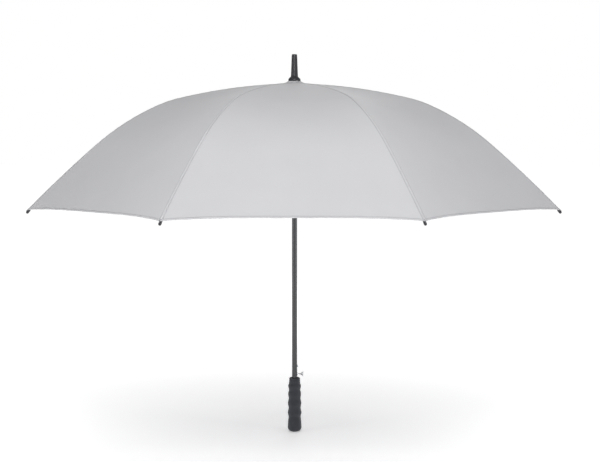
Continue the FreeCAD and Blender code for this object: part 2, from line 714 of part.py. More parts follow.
failed = [o.Name for o in doc.Objects if {"Invalid", "Error"} & set(o.State)]
failed += [o.Label for o in finished if o.Shape.isNull() or not o.Shape.isValid() or not o.Shape.Solids]
if failed:
    raise RuntimeError(f"these did not build: {failed}")
os.makedirs("parts", exist_ok=True)
for piece in finished:
    piece.Shape.exportStep(f"parts/{piece.Label}.step")
    print(piece.Label, len(piece.Shape.Solids), "solid", round(piece.Shape.Volume, 1), "mm3")
print("notch pivot", n.pivot_radius, n.notch_pivot)
print("knee", knee.Base.x, knee.Base.z, "lug", lug.x, lug.z, "tip", tip.Base.x, tip.Base.z)
print("link length", link_length, "slope", link_slope, "fold", fold)
print("runner pivot open", runner_pivot, "folded", runner_folded)
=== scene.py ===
# An open golf umbrella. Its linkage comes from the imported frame, and the cloth, the sewing, the foam grip and
# the turned ends are made here. Metres, +Z up the shaft, the butt at the origin, the push button on +X.
import json
import math

import bpy
import numpy as np
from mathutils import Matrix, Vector


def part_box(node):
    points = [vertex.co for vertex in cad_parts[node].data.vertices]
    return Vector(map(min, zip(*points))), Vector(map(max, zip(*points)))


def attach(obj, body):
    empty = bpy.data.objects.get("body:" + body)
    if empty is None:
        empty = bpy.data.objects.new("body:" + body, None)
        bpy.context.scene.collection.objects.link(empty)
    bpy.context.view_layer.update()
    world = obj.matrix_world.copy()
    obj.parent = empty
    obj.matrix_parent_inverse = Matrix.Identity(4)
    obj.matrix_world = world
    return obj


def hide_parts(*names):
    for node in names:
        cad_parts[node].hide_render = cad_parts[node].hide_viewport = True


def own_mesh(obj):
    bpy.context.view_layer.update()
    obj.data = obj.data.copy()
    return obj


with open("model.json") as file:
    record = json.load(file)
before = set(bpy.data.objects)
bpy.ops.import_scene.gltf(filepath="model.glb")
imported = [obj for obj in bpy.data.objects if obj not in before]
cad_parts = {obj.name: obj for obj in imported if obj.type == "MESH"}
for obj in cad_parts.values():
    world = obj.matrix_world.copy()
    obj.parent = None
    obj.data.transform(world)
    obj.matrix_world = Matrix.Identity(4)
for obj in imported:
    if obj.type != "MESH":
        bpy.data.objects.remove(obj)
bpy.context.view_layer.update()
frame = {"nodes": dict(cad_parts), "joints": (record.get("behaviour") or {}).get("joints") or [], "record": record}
MM = 0.001

# ---- What the frame gives: where the ribs turn, how high things stand

joints = {joint["name"]: joint for joint in frame["joints"]}
RIBS = range(1, 9)
HALF_GORE = math.pi / len(RIBS)
root_x, root_y, ROOT_HEIGHT = joints["rib_1_fold"]["pos_m"]
ROOT_REACH = math.hypot(root_x, root_y)
knee_x, knee_y, KNEE_HEIGHT = joints["rib_1_knee"]["pos_m"]
KNEE_REACH = math.hypot(knee_x, knee_y)
CLOTH_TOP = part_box("canopy")[1].z
CAP_LOW, CAP_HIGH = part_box("top_cap")
FERRULE_LOW, FERRULE_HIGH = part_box("ferrule")
GRIP_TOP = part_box("handle_grip")[1].z
BUTTON_LOW, BUTTON_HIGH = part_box("push_button")
TUBE_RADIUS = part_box("shaft_tube")[1].y


def azimuth(rib):
    """Which way a rib points, from +X."""
    x, y, _ = joints[f"rib_{rib}_fold"]["pos_m"]
    return math.atan2(y, x)


def rib_plane(rib):
    """Three unit directions for a rib: outwards from the shaft, across the rib, and up."""
    outwards = np.array([math.cos(azimuth(rib)), math.sin(azimuth(rib)), 0])
    return outwards, np.array([-outwards[1], outwards[0], 0]), np.array([0, 0, 1])


# ---- Meshes: a surface is a grid of points, rows by columns

def grid_faces(rows, columns, ring=False):
    """The quads between a grid's neighbouring points, and from its last column to its first in a ring."""
    index = np.arange(rows * columns).reshape(rows, columns)
    if ring:
        index = np.hstack([index, index[:, :1]])
    return np.stack([index[:-1, :-1], index[:-1, 1:], index[1:, 1:], index[1:, :-1]], -1).reshape(-1, 4)


def make_mesh(name, points, faces, material, sharp_degrees=40):
    """A piece from points and faces, smooth but for edges sharper than an angle, where there is one."""
    mesh = bpy.data.meshes.new(name)
    mesh.from_pydata(points.reshape(-1, 3).tolist(), [], faces)
    mesh.polygons.foreach_set("use_smooth", [True] * len(mesh.polygons))
    if sharp_degrees:
        mesh.set_sharp_from_angle(angle=math.radians(sharp_degrees))
    mesh.materials.append(material)
    piece = bpy.data.objects.new(name, mesh)
    bpy.context.scene.collection.objects.link(piece)
    return piece


def rounded(outline, radius, steps=7):
    """An outline whose inner corners are quadratic curves that start and end a radius from each corner."""
    p = np.array(outline, float)
    before, corner, after = p[:-2, None], p[1:-1, None], p[2:, None]

    def towards(end):
        gap = end - corner
        length = np.linalg.norm(gap, axis=2, keepdims=True)
        return corner + gap * np.minimum(radius, 0.45 * length) / length

    t = np.linspace(0, 1, steps)[None, :, None]
    curve = (1 - t) ** 2 * towards(before) + 2 * t * (1 - t) * corner + t ** 2 * towards(after)
    return np.vstack([p[:1], curve.reshape(-1, 2), p[-1:]])


def turned(name, outline, material, sides=96, origin=(0, 0, 0), axis=(0, 0, 1), sharp_degrees=40):
    """A turned piece: each (radius, distance) of an outline that ends on the axis goes once round."""
    outline = np.array(outline, float)
    middle = outline[1:-1]
    forward = np.array(axis, float) / np.linalg.norm(axis)
    side = np.cross(forward, (0, 1, 0) if abs(forward[1]) < 0.9 else (1, 0, 0))
    side /= np.linalg.norm(side)
    angle = np.arange(sides) * 2 * math.pi / sides
    spoke = np.cos(angle)[:, None] * side + np.sin(angle)[:, None] * np.cross(forward, side)
    skin = np.array(origin) + middle[:, :1, None] * spoke + middle[:, 1:, None] * forward
    poles = np.array(origin) + outline[[0, -1], 1:] * forward
    count = len(middle) * sides
    ring = np.arange(sides)
    after = (ring + 1) % sides
    fans = [np.stack([0 * ring + count, after, ring], -1),
            np.stack([0 * ring + count + 1, count - sides + ring, count - sides + after], -1)]
    faces = grid_faces(len(middle), sides, ring=True).tolist() + np.concatenate(fans).tolist()
    return make_mesh(name, np.vstack([skin.reshape(-1, 3), poles]), faces, material, sharp_degrees)


def looped_thread(name, path, radius, across, material, sides=8):
    """A round thread on a closed path: a circle carried along it, in the plane of the direction across and
    the one that is square to the path."""
    ahead = np.roll(path, -1, 0) - np.roll(path, 1, 0)
    ahead /= np.linalg.norm(ahead, axis=1, keepdims=True)
    out = np.cross(ahead, across)
    out /= np.linalg.norm(out, axis=1, keepdims=True)
    level = np.cross(out, ahead)
    turn = np.arange(sides)[None, :, None] * 2 * math.pi / sides
    points = path[:, None] + radius * (np.cos(turn) * out[:, None] + np.sin(turn) * level[:, None])
    faces = grid_faces(len(path) + 1, sides, ring=True) % (len(path) * sides)
    return make_mesh(name, points, faces[:, ::-1].tolist(), material, 0)


# ---- Materials

def colour(code):
    """Linear RGBA from an sRGB hex code."""
    channels = [int(code[i:i + 2], 16) / 255 for i in (1, 3, 5)]
    return [c / 12.92 if c <= 0.04045 else ((c + 0.055) / 1.055) ** 2.4 for c in channels] + [1]


def add(material, kind, inputs=None, **settings):
    """One node: settings are its own properties, and each input is a value or another node's socket."""
    tree = material.node_tree
    node = tree.nodes.new(f"ShaderNode{kind}")
    for key, value in settings.items():
        setattr(node, key, value)
    for key, value in (inputs or {}).items():
        if isinstance(value, bpy.types.NodeSocket):
            tree.links.new(value, node.inputs[key])
        else:
            node.inputs[key].default_value = value
    return node


def finish(name, **inputs):
    """A material with one Principled shader, whose inputs are given by name, with underscores for spaces."""
    material = bpy.data.materials.new(name)
    material.use_nodes = True
    shader = material.node_tree.nodes["Principled BSDF"]
    for key, value in inputs.items():
        shader.inputs[key.replace("_", " ")].default_value = value
    return material, shader


def join(material, source, target):
    material.node_tree.links.new(source, target)


def mottle(material, scale_mm, detail=3.0, roughness=0.5):
    """Noise in the object's own place, whose grains are about scale_mm across."""
    place = add(material, "TexCoord").outputs["Object"]
    return add(material, "TexNoise", {"Vector": place, "Scale": 1 / (scale_mm * MM), "Detail": detail,
                                      "Roughness": roughness}).outputs["Fac"]


def between(material, share, low, high):
    """A number that runs from low to high as the share runs from nought to one."""
    return add(material, "MapRange", {"Value": share, "To Min": low, "To Max": high}).outputs["Result"]


def tint(material, share, low, high):
    """A colour between two, by a share."""
    return add(material, "Mix", {"Factor": share, "A": low, "B": high}, data_type="RGBA").outputs["Result"]


def relief(material, height, depth_mm, strength=1.0, under=None):
    """A bump from a height of nought to one that stands depth_mm high, over another where there is one."""
    inputs = {"Height": height, "Distance": depth_mm * MM, "Strength": strength}
    if under is not None:
        inputs["Normal"] = under
    return add(material, "Bump", inputs).outputs["Normal"]


def sum_of(material, kind, a, b):
    """A sum, or another operation on two numbers."""
    return add(material, "Math", {0: a, 1: b}, operation=kind).outputs[0]


def line_at(material, distance, at_mm, half_mm):
    """One on a line at a distance, and nought beyond its half width, with soft sides."""
    off = sum_of(material, "ABSOLUTE", sum_of(material, "SUBTRACT", distance, at_mm * MM), 0.0)
    return add(material, "MapRange", {"Value": off, "From Min": half_mm * MM, "From Max": half_mm * MM / 3,
                                      "To Min": 0.0, "To Max": 1.0}).outputs["Result"]


def dashes(material, run, pitch_mm):
    """One on each stitch along a run and nought in the gaps between stitches."""
    wave = sum_of(material, "SINE", sum_of(material, "MULTIPLY", run, 2 * math.pi / (pitch_mm * MM)), 0.0)
    return add(material, "MapRange", {"Value": wave, "From Min": -0.6, "From Max": -0.2}).outputs["Result"]


def pongee():
    """Pongee: plain-woven polyester with a dull sheen. Warp and weft run with each gore."""
    material, shader = finish("pongee_cloth", Roughness=0.78, Sheen_Weight=0.25, Sheen_Roughness=0.4,
                              Specular_IOR_Level=0.3)
    weave_map = add(material, "UVMap", uv_map="weave").outputs[0]
    cloth = add(material, "SeparateXYZ", {"Vector": weave_map}).outputs
    # threads 0.3 mm apart are too fine to show, so they are drawn three times as coarse
    thread = 0.9 * MM
    turns = 2 * math.pi / thread
    warp, weft = (
        add(material, "Math", {0: sum_of(material, "MULTIPLY", cloth[side], turns)},
            operation="SINE").outputs[0]
        for side in ("X", "Y")
    )
    weave = between(material, sum_of(material, "MULTIPLY", warp, weft), 0.25, 0.75)
    sewing = add(material, "SeparateXYZ", {
        "Vector": add(material, "Attribute", attribute_name="sewing").outputs["Vector"]}).outputs
    seam, hem, along_seam, along_hem = sewing["X"], sewing["Y"], cloth["Y"], cloth["X"]
    cloudy = mottle(material, 90, 2.0)
    slubs = mottle(material, 2.5, 2.0)
    base = tint(material, between(material, cloudy, 0.2, 0.8), colour("#C2C2C5"), colour("#CBCBCD"))
    base = tint(material, between(material, slubs, 0.0, 0.16), base, colour("#B2B2B6"))
    # a groove where the seam and the hem end, sunk by a bump and darkened in the base colour as painted shade, and
    # a needle line inside each, drawn twice their real width
    groove_and_painted_shade = sum_of(material, "MAXIMUM", line_at(material, seam, 3.4, 1.1), line_at(material, hem, 4.8, 0.9))
    needle = sum_of(
        material, "MAXIMUM",
        sum_of(material, "MULTIPLY", line_at(material, seam, 1.9, 0.5), dashes(material, along_seam, 2.8)),
        sum_of(material, "MULTIPLY", line_at(material, hem, 3.4, 0.5), dashes(material, along_hem, 2.8)))
    # painted shade: the groove is darkened in the base colour, as if shaded in its recess
    base = tint(material, sum_of(material, "MULTIPLY", groove_and_painted_shade, 0.4), base, colour("#77777C"))
    base = tint(material, sum_of(material, "MULTIPLY", needle, 0.5), base, colour("#8E8E93"))
    join(material, base, shader.inputs["Base Color"])
    bump = relief(material, weave, 0.05, 0.2)
    bump = relief(material, sum_of(material, "SUBTRACT", 1.0, groove_and_painted_shade), 0.35, 0.5, bump)
    bump = relief(material, needle, 0.3, 0.5, bump)
    join(material, bump, shader.inputs["Normal"])
    return material


def lacquered_tube():
    """Drawn steel tube under black gloss lacquer: a smooth skin with faint orange peel."""
    material, shader = finish("black_lacquered_steel", Roughness=0.22, Coat_Weight=0.6, Coat_Roughness=0.08)
    peel = mottle(material, 1.6, 2.0)
    join(material, tint(material, mottle(material, 25, 4.0), colour("#212226"), colour("#2B2C31")),
         shader.inputs["Base Color"])
    join(material, between(material, mottle(material, 8, 5.0), 0.16, 0.3), shader.inputs["Roughness"])
    join(material, relief(material, peel, 0.02, 0.3), shader.inputs["Normal"])
    return material


def moulded_plastic():
    """Black ABS, moulded: even and satin, with the fine spark-eroded grain of its mould."""
    material, shader = finish("moulded_abs", Roughness=0.42, IOR=1.5)
    join(material, tint(material, mottle(material, 12, 3.0), colour("#26262A"), colour("#313136")),
         shader.inputs["Base Color"])
    join(material, between(material, mottle(material, 6, 3.0), 0.36, 0.5), shader.inputs["Roughness"])
    join(material, relief(material, mottle(material, 0.5, 2.0), 0.05, 0.4), shader.inputs["Normal"])
    return material


def pultruded_rod():
    """Black glass-fibre rod, pultruded: satin resin over fibres, so its gloss is broken and streaked."""
    material, shader = finish("glass_fibre_rod", Roughness=0.45, IOR=1.52)
    join(material, tint(material, mottle(material, 4, 5.0, 0.7), colour("#161618"), colour("#29292C")),
         shader.inputs["Base Color"])
    join(material, between(material, mottle(material, 3, 4.0), 0.34, 0.55), shader.inputs["Roughness"])
    join(material, relief(material, mottle(material, 0.4, 3.0), 0.04, 0.5), shader.inputs["Normal"])
    return material


def zinc_plate():
    """Pressed steel, zinc plated: dull silver with small cloudy spangles."""
    material, shader = finish("zinc_plated_steel", Metallic=1.0, Roughness=0.38)
    spangle = mottle(material, 2.2, 4.0, 0.6)
    join(material, tint(material, spangle, colour("#8E9196"), colour("#B4B7BB")), shader.inputs["Base Color"])
    join(material, between(material, mottle(material, 1.4, 3.0), 0.28, 0.46), shader.inputs["Roughness"])
    join(material, relief(material, spangle, 0.02, 0.4), shader.inputs["Normal"])
    return material


def chrome_plate():
    """Chrome plate on a turned button: mirror bright, with only a breath of polishing haze."""
    material, shader = finish("chrome_plate", Metallic=1.0, Roughness=0.07)
    join(material, tint(material, mottle(material, 6, 2.0), colour("#DADCDF"), colour("#EDEEF0")),
         shader.inputs["Base Color"])
    join(material, between(material, mottle(material, 3, 4.0), 0.05, 0.11), shader.inputs["Roughness"])
    return material


def grip_foam():
    """Dense EVA foam, moulded: charcoal and matt, with a fine skin of closed cells."""
    material, shader = finish("eva_foam", Roughness=0.92, Sheen_Weight=0.3, Sheen_Roughness=0.5,
                              Specular_IOR_Level=0.25)
    # cells of 0.3 mm are drawn at 0.9 mm, so that the skin shows its grain
    place = add(material, "TexCoord").outputs["Object"]
    cells = add(material, "TexVoronoi", {"Vector": place, "Scale": 1 / (0.9 * MM)}).outputs["Distance"]
    patches = mottle(material, 14, 4.0)
    base = tint(material, patches, colour("#303236"), colour("#3C3E43"))
    base = tint(material, between(material, cells, 0.0, 0.5), base, colour("#4A4C52"))
    join(material, base, shader.inputs["Base Color"])
    bump = relief(material, mottle(material, 2.2, 3.0), 0.25, 0.4)
    join(material, relief(material, cells, 0.25, 0.6, bump), shader.inputs["Normal"])
    return material


def sewing_thread():
    """Bonded polyester thread: dark grey, twisted, with a soft shine."""
    material, shader = finish("bonded_thread", Roughness=0.6, Sheen_Weight=0.4)
    join(material, tint(material, mottle(material, 0.8, 2.0), colour("#4B4B50"), colour("#6A6A70")),
         shader.inputs["Base Color"])
    return material


cloth_finish, thread_finish = pongee(), sewing_thread()
FINISHES = {
    "canopy_cloth": cloth_finish, "black_plastic": moulded_plastic(), "black_glassfibre": pultruded_rod(),
    "black_tube": lacquered_tube(), "steel": zinc_plate(), "chrome": chrome_plate(), "grip_foam": grip_foam(),
}
for part in frame["record"]["subparts"]:
    materials = frame["nodes"][part["node"]].data.materials
    materials.clear()
    materials.append(FINISHES[part["material_slot"]])


# ---- The canopy. A half gore runs from a rib's seam to the middle of the gore, and from crown to hem.

# distances along a rib from its pivot, where its bend changes, and how steeply it falls at each
RIB_STATIONS = np.array([-9, 0, 7.5, 300, 350, 532, 752]) * MM
RIB_SLOPES = np.radians([3, 3, 3, 14.3, 24, 41, 45.3])
KNEE_STATION = 325 * MM
HEM_STATION = 752 * MM
CLOTH_LIFT = 4.1 * MM  # from a rib's middle to the cloth's outer face
CLOTH_THICKNESS = 0.55 * MM
CORNER_DROP = 0.2 * MM  # how far the cloth's corner comes down on the rib
CORNER_REACH = 60 * MM
BRIM_RADIUS = 16.5 * MM  # out to here the cloth is lifted to the CAD canopy's top
NECK_SPREAD = 8 * MM  # how fast that lift fades further out
ROUND_CROWN = 14 * MM  # how fast the round crown turns into straight gores
HOLE_RADIUS = 8.6 * MM
HEM_RISE = 11 * MM  # how much shorter a gore's middle is than its seam
HEM_POWER = 3.2
HEM_BAND = 4.6 * MM
SAG_MIDDLE = 8 * MM
SAG_HEM = 3 * MM
SEAM_HALF = 3 * MM  # half the width of the raised seam
KNEE_DIP = 42 * MM  # how much further down a gore is parted in its middle than at its seam
KNEE_LAP = 16 * MM  # how far the inner part runs on under the outer one in a gore's middle
# what stands out from the cloth: how far at most, in millimetres, how fast it fades, how long its waves are
SEAM_RAISED, HEM_RAISED = 0.45, 0.3
SEAM_PUCKER, SEAM_FADE, SEAM_WAVE = 0.12, 12 * MM, 23 * MM
HEM_PUCKER, HEM_FADE, HEM_WAVE = 0.22, 22 * MM, 58 * MM
# folds at the tips, so many to half a turn, and pleats at the crown, so many half waves to half a gore
TIP_FOLD, TIP_FADE, TIP_FOLDS = 0.9, 30 * MM, 6
PLEAT, PLEAT_FADE, PLEATS = 0.6, 16 * MM, 5

STEP = 0.5 * MM
fine = np.arange(RIB_STATIONS[0], RIB_STATIONS[-1] + 10 * MM, STEP)
slope = np.interp(fine, RIB_STATIONS, RIB_SLOPES)


def summed(rate):
    """The running sum of a rate along the rib, nought at the pivot."""
    total = np.concatenate([[0], np.cumsum((rate[1:] + rate[:-1]) / 2 * STEP)])
    return total - np.interp(0, fine, total)


def smooth(value, low, high):
    """Nought below low, one above high, and an even ease between them."""
    t = np.clip((value - low) / (high - low), 0, 1)
    return t * t * (3 - 2 * t)


lift = CLOTH_LIFT - CORNER_DROP * smooth(fine, HEM_STATION - CORNER_REACH, HEM_STATION)
seam_reach = ROOT_REACH + summed(np.cos(slope)) + lift * np.sin(slope)
seam_height = ROOT_HEIGHT - summed(np.sin(slope)) + lift * np.cos(slope)
neck_rise = CLOTH_TOP - np.interp(BRIM_RADIUS, seam_reach, seam_height)
seam_height = seam_height + neck_rise * np.exp(-np.maximum(seam_reach - BRIM_RADIUS, 0) / NECK_SPREAD)
CROWN_STATION = float(np.interp(HOLE_RADIUS, seam_reach, fine))


def cloth_at(station, share):
    """The cloth's outer face in a rib's own plane, as (outwards, across, up): a straight line across from the
    seam to the gore's middle, rounded at the crown and let down by a sag, deepest half way to the hem."""
    reach = np.interp(station, fine, seam_reach)
    height = np.interp(station, fine, seam_height)
    out = reach * (1 - share * math.sin(HALF_GORE) ** 2)
    across = reach * share * math.sin(HALF_GORE) * math.cos(HALF_GORE)
    roundness = np.exp(-np.maximum(reach - BRIM_RADIUS, 0) / ROUND_CROWN)
    swell = 1 + roundness * (reach / np.hypot(out, across) - 1)
    down = np.clip(station / HEM_STATION, 0, 1)
    sag = (SAG_MIDDLE * np.sin(math.pi * down) + SAG_HEM * down ** 2) * (1 - (1 - share) ** 2)
    steep = np.arctan(np.tan(np.interp(station, fine, slope)) / math.cos(HALF_GORE))
    inward = sag * np.sin(steep)
    return np.stack([out * swell - inward * math.cos(HALF_GORE),
                     across * swell - inward * math.sin(HALF_GORE),
                     height - sag * np.cos(steep)], -1)


def knee_cut(share):
    """Where a half gore is parted: at the knee on the seam, and further down towards the gore's middle."""
    return KNEE_STATION + KNEE_DIP * share ** 1.5


def hem_edge(share):
    """The hem: hollow between the tips and nearly level in the middle."""
    return HEM_STATION - HEM_RISE * (1 - (1 - share) ** HEM_POWER)


def from_seam(station, share):
    """How far a point is from its seam."""
    return np.interp(station, fine, seam_reach) * math.sin(HALF_GORE) * share


def folds(station, share, seam_wave, tip_wave, hem_wave):
    """How far the cloth stands out: the raised seam and hem, puckers along both, pleats at the crown and
    folds that fan from the rib's tip. Each is a wave times a fade."""
    aside = from_seam(station, share)
    width = from_seam(station, 1)
    above_hem = hem_edge(share) - station
    above_tip = HEM_STATION - station
    from_tip = np.hypot(above_tip, aside)
    from_brim = np.maximum(np.interp(station, fine, seam_reach) - BRIM_RADIUS, 0)
    seam = SEAM_RAISED * (1 - smooth(aside, SEAM_HALF - 0.5 * MM, SEAM_HALF + 0.4 * MM))
    seam += SEAM_PUCKER * seam_wave * np.exp(-aside / SEAM_FADE) * np.sin(2 * math.pi * station / SEAM_WAVE)
    hem = HEM_RAISED * (1 - smooth(above_hem, HEM_BAND - 0.2 * MM, HEM_BAND + 0.5 * MM))
    ripple = np.cos(2 * math.pi * (width - aside) / HEM_WAVE)
    hem += HEM_PUCKER * hem_wave * np.exp(-above_hem / HEM_FADE) * ripple
    fan = np.arctan2(aside, above_tip + 4 * MM)
    tip = TIP_FOLD * tip_wave * np.exp(-from_tip / TIP_FADE) * np.sin(TIP_FOLDS * fan) ** 2
    tip = tip * smooth(from_tip, 0, 16 * MM)
    crown = PLEAT * np.exp(-from_brim / PLEAT_FADE) * np.cos(PLEATS * math.pi * share)
    crown = crown * smooth(from_brim, 0, 4 * MM)
    return (seam + hem + tip + crown) * MM


def cloth_normals(station, share):
    """The outward direction at each point, from points a little either side, kept in each border's plane."""
    near = 0.5 * MM
    along = cloth_at(station + near, share) - cloth_at(station - near, share)
    aside = cloth_at(station, share + 0.002) - cloth_at(station, share - 0.002)
    normal = np.cross(aside, along)
    normal *= np.sign(normal[..., 2:])
    middle = np.array([-math.sin(HALF_GORE), math.cos(HALF_GORE), 0])
    normal[:, 0, 1] = 0
    normal[:, -1] -= (normal[:, -1] @ middle)[:, None] * middle
    return normal / np.linalg.norm(normal, axis=-1, keepdims=True)


def part_rows(part):
    """Each row of a part as weights (fixed, of the cut, of the hem, of the lap), so that rows keep level with
    the crown, the cut or the hem, whichever is near."""
    crown = np.arange(0, 40, 2.0) * MM
    above_hem = np.concatenate([np.arange(60, 9, -2.5), [6.5, 5.3, 4.9, 4.4, 3, 1.5, 0.7, 0]]) * MM
    if part == "inner":
        share = np.append(np.linspace(0, 1, 74)[1:-1], [0.997, 1])
        first = CROWN_STATION + crown
        fixed = np.concatenate([first, first[-1] * (1 - share), np.zeros(3)])
        cut = np.concatenate([0 * crown, share, np.ones(3)])
        lap = np.concatenate([0 * crown, 0 * share, [0.1, 0.6, 1]])
        return fixed, cut, 0 * fixed, lap
    share = np.concatenate([[0, 0.003], np.linspace(0, 1, 92)[1:]])
    fixed = np.concatenate([-above_hem[0] * share, -above_hem[1:]])
    cut = np.concatenate([1 - share, 0 * above_hem[1:]])
    return fixed, cut, 1 - cut, 0 * fixed


def half_gore_grid(part):
    """The station and share of each point of a part: the seam's columns keep their distance from it where the
    gore is wide enough, and the others open out towards the middle."""
    fixed, cut, hem, lap = (weight[:, None] for weight in part_rows(part))
    width = from_seam(fixed + cut * KNEE_STATION + hem * HEM_STATION, 1)
    band = np.array([0, 1.2, 2.3, 2.7, 3.1, 3.6, 4.5, 6.5, 9.5]) * MM / np.maximum(width, 40 * MM)
    spread = np.append(np.linspace(0, 1, 36)[1:-1] ** 1.2, [0.996, 1])
    share = np.concatenate([band, band[:, -1:] + (1 - band[:, -1:]) * spread], 1)
    return fixed + cut * knee_cut(share) + hem * hem_edge(share) + lap * KNEE_LAP * share ** 2, share, lap


def skin_faces(rows, columns):
    """Quads of a closed sheet: its outer grid, its inner grid turned over, and a wall round their edge."""
    outer = grid_faces(rows, columns)
    count = rows * columns
    index = np.arange(count).reshape(rows, columns)
    edge = np.concatenate([index[0, :-1], index[:-1, -1], index[-1, :0:-1], index[:0:-1, 0]])
    after = np.roll(edge, -1)
    wall = np.stack([edge, edge + count, after + count, after], -1)
    return np.concatenate([outer, outer[:, ::-1] + count, wall])


def half_gore(rib, side, part):
    """One piece of cloth: its outer face with its folds, and its inner face a thickness further in."""
    station, share, lap = half_gore_grid(part)
    gore = rib if side > 0 else (rib - 2) % len(RIBS) + 1
    seam_wave, tip_wave = np.random.default_rng(rib).uniform(0.7, 1.2, 2)
    hem_wave = np.random.default_rng(100 + gore).uniform(0.6, 1.3)
    normal = cloth_normals(station, share)
    standing = folds(station, share, seam_wave, tip_wave, hem_wave)
    tucked = np.minimum(lap * 10, 1) * (CLOTH_THICKNESS + 0.15 * MM)
    above_hem = hem_edge(share) - station
    turning = 0.35 * MM * (1 - smooth(above_hem, HEM_BAND - 0.2 * MM, HEM_BAND + 0.5 * MM))
    allowance = 0.35 * MM * (1 - smooth(from_seam(station, share), 5 * MM, 6 * MM))
    outer = cloth_at(station, share) + normal * (standing - tucked)[..., None]
    inner = outer - normal * (CLOTH_THICKNESS + turning + allowance)[..., None]
    points = np.stack([outer, inner])
    angle = azimuth(rib)
    out, across, up = points[..., 0], points[..., 1] * side, points[..., 2]
    placed = np.stack([out * math.cos(angle) - across * math.sin(angle),
                       out * math.sin(angle) + across * math.cos(angle), up], -1)
    faces = skin_faces(*station.shape)
    name = f"canopy_{part}_{rib}_{'left' if side > 0 else 'right'}"
    piece = make_mesh(name, placed, (faces if side < 0 else faces[:, ::-1]).tolist(), cloth_finish, 50)
    aside = from_seam(station, share)
    across_and_along = np.stack([from_seam(station, 1) - aside, station], -1).reshape(-1, 2)
    print_on(piece, "weave", np.tile(across_and_along, (2, 1)))
    sewing = piece.data.attributes.new("sewing", "FLOAT_VECTOR", "POINT")
    from_sewing = np.stack([aside, above_hem, station], -1).reshape(-1, 3)
    sewing.data.foreach_set("vector", np.tile(from_sewing, (2, 1)).ravel())
    return piece, aside.max(), np.ptp(station[:, 0])


def print_on(piece, name, place):
    """A UV map from one (across, along) in metres for each point."""
    corners = np.empty(len(piece.data.loops), int)
    piece.data.loops.foreach_get("vertex_index", corners)
    piece.data.uv_layers.new(name=name).data.foreach_set("uv", place[corners].astype(np.float32).ravel())


FOLD = math.radians(joints["rib_1_fold"]["range_deg"][1])
FLEX = math.radians(joints["rib_1_knee"]["range_deg"][0])
# how far from the shaft's middle a rib's two halves cross, each on the leaning plane that it flattens towards
CROSS_REACH = {"inner": 36 * MM, "outer": 55 * MM}
knee_out, knee_up = KNEE_REACH - ROOT_REACH, KNEE_HEIGHT - ROOT_HEIGHT
knee_folded = ROOT_REACH + knee_out * math.cos(FOLD) + knee_up * math.sin(FOLD)
# for each part: how far it turns down, the hinge it turns on, and how much further out its halves cross
PARTS = {
    "inner": (FOLD, (ROOT_REACH, ROOT_HEIGHT), CROSS_REACH["inner"] - ROOT_REACH),
    "outer": (FOLD + FLEX, (KNEE_REACH, KNEE_HEIGHT), CROSS_REACH["outer"] - knee_folded),
}
for rib in RIBS:
    outwards, across, upwards = rib_plane(rib)
    for part, (turn, (hinge_reach, hinge_height), further) in PARTS.items():
        for side in (1, -1):
            piece, width, length = half_gore(rib, side, part)
            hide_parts("canopy")
            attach(piece, f"rib_{part}_{rib}")
            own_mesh(piece)


# ---- The turned ends, the grip, the button and the tips

def settle(piece, body, slot, *nodes):
    """A piece takes a node's place on its body, and the node is hidden. The slot is not used."""
    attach(piece, body)
    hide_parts(*nodes)


cap_bottom, cap_top = CAP_LOW.z, CAP_HIGH.z
cap_radius, cap_neck = CAP_HIGH.x, 9.9 * MM
cap_line = rounded([
    (TUBE_RADIUS, cap_top - 3 * MM), (TUBE_RADIUS, cap_bottom + 1.2 * MM),
    (cap_radius - 1.6 * MM, cap_bottom + 1.2 * MM), (cap_radius - 1 * MM, cap_bottom),
    (cap_radius, cap_bottom + 0.2 * MM), (cap_radius, cap_bottom + 4.5 * MM),
    (cap_radius - 1.2 * MM, cap_bottom + 7.2 * MM), (cap_radius - 3.6 * MM, cap_bottom + 9.2 * MM),
    (cap_neck + 0.5 * MM, cap_top - 0.9 * MM), (cap_neck - 0.3 * MM, cap_top), (TUBE_RADIUS, cap_top),
], 1.4 * MM)
cap_line = np.vstack([[0, cap_line[0, 1]], cap_line, [0, cap_line[-1, 1]]])
settle(turned("top_cap_bell", cap_line, FINISHES["black_plastic"]), "shaft", "black_plastic", "top_cap")

ferrule_foot, ferrule_end = FERRULE_LOW.z, FERRULE_HIGH.z
foot_radius, end_radius = FERRULE_HIGH.x, 6.8 * MM
ferrule_line = rounded([
    (0, ferrule_foot), (foot_radius - 0.3 * MM, ferrule_foot), (foot_radius, ferrule_foot + 0.4 * MM),
    (foot_radius - 0.1 * MM, ferrule_foot + 3.6 * MM), (foot_radius - 0.4 * MM, ferrule_foot + 4.2 * MM),
    (end_radius + 0.25 * MM, ferrule_end - 4.2 * MM), (end_radius, ferrule_end - 3.6 * MM),
    (end_radius, ferrule_end - 0.9 * MM), (end_radius - 0.9 * MM, ferrule_end),
    (end_radius - 2.1 * MM, ferrule_end), (end_radius - 2.5 * MM, ferrule_end - 0.7 * MM),
    (0, ferrule_end - 0.7 * MM),
], 0.5 * MM)
settle(turned("ferrule_spike", ferrule_line, FINISHES["black_plastic"]), "shaft", "black_plastic", "ferrule")

# the grip's crests and hollows: share of its length down from the top, and radius in millimetres
GRIP_WAVES = np.array([
    (0.0, 13.0), (0.006, 14.1), (0.03, 14.4), (0.08, 14.4), (0.10, 14.9), (0.151, 17.05), (0.225, 15.2),
    (0.301, 17.2), (0.386, 15.9), (0.474, 17.95), (0.565, 16.05), (0.655, 18.3), (0.733, 16.2), (0.83, 17.7),
    (0.93, 18.4),
])


